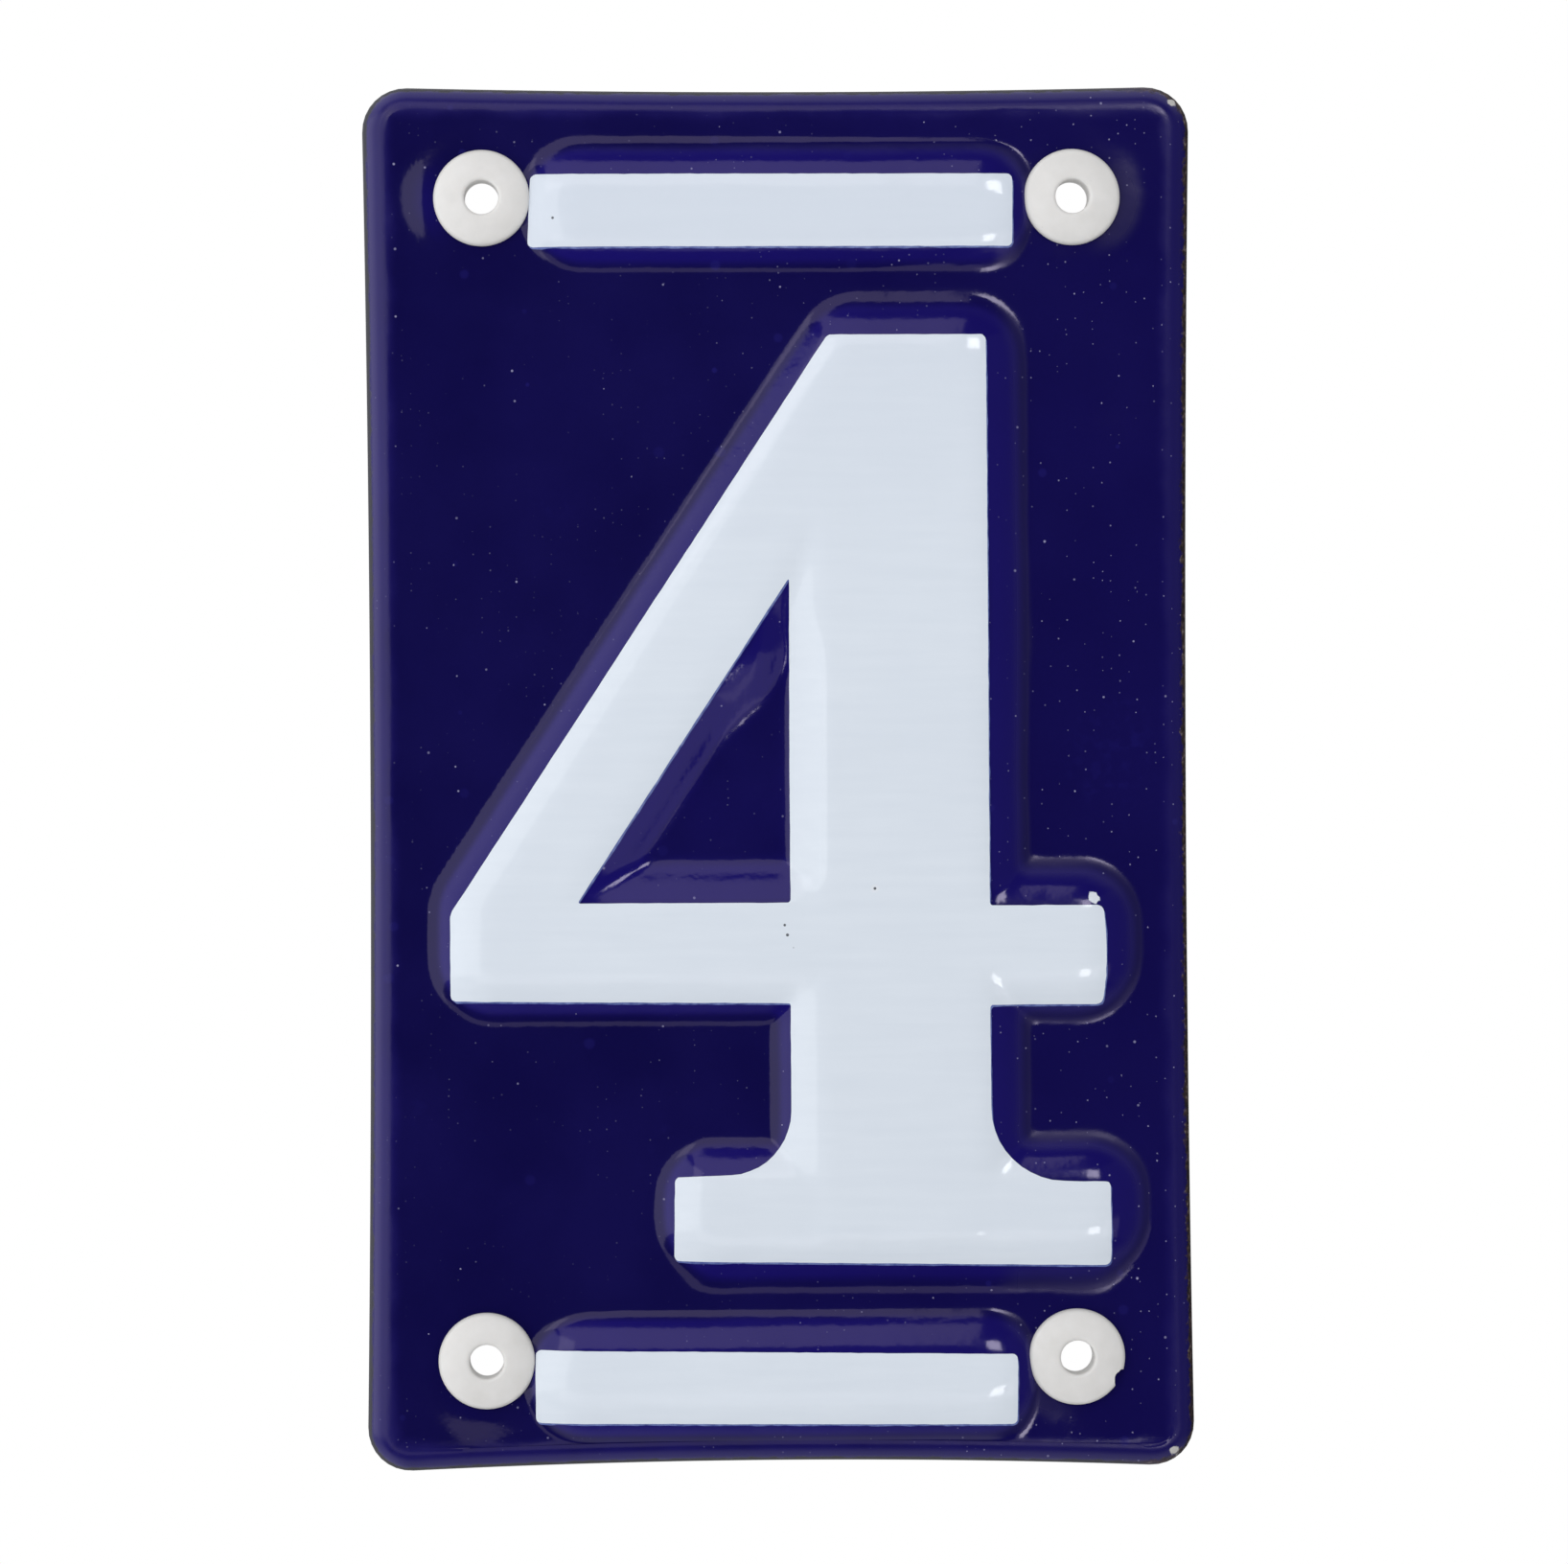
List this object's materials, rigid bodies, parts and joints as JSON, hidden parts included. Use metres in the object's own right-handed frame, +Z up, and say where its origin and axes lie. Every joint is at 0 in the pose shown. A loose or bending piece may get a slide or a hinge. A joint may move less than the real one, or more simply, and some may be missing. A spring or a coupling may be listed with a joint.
{
  "type": "house number plaque",
  "caption": "Enamelled steel house number plaque: pressed blue plate with turned-down edges, a raised white figure between raised white bars, and domed nylon screw bushes at its corners.",
  "frame": {"origin": "centre of the plate's outline, on the plane of the wall that its rim rests against", "axes": "+X to the right and +Z up as it hangs, seen from the front; the front faces -Y and the wall is at Y = 0"},
  "size_m": [0.0758, 0.0058, 0.1267],
  "materials": {
    "blue_enamel": "gloss",
    "nylon": "satin"
  },
  "bodies": {
    "root": {"plate": "blue_enamel", "bush_upper_left": "nylon", "bush_upper_right": "nylon", "bush_lower_left": "nylon", "bush_lower_right": "nylon"}
  },
  "joints": []
}
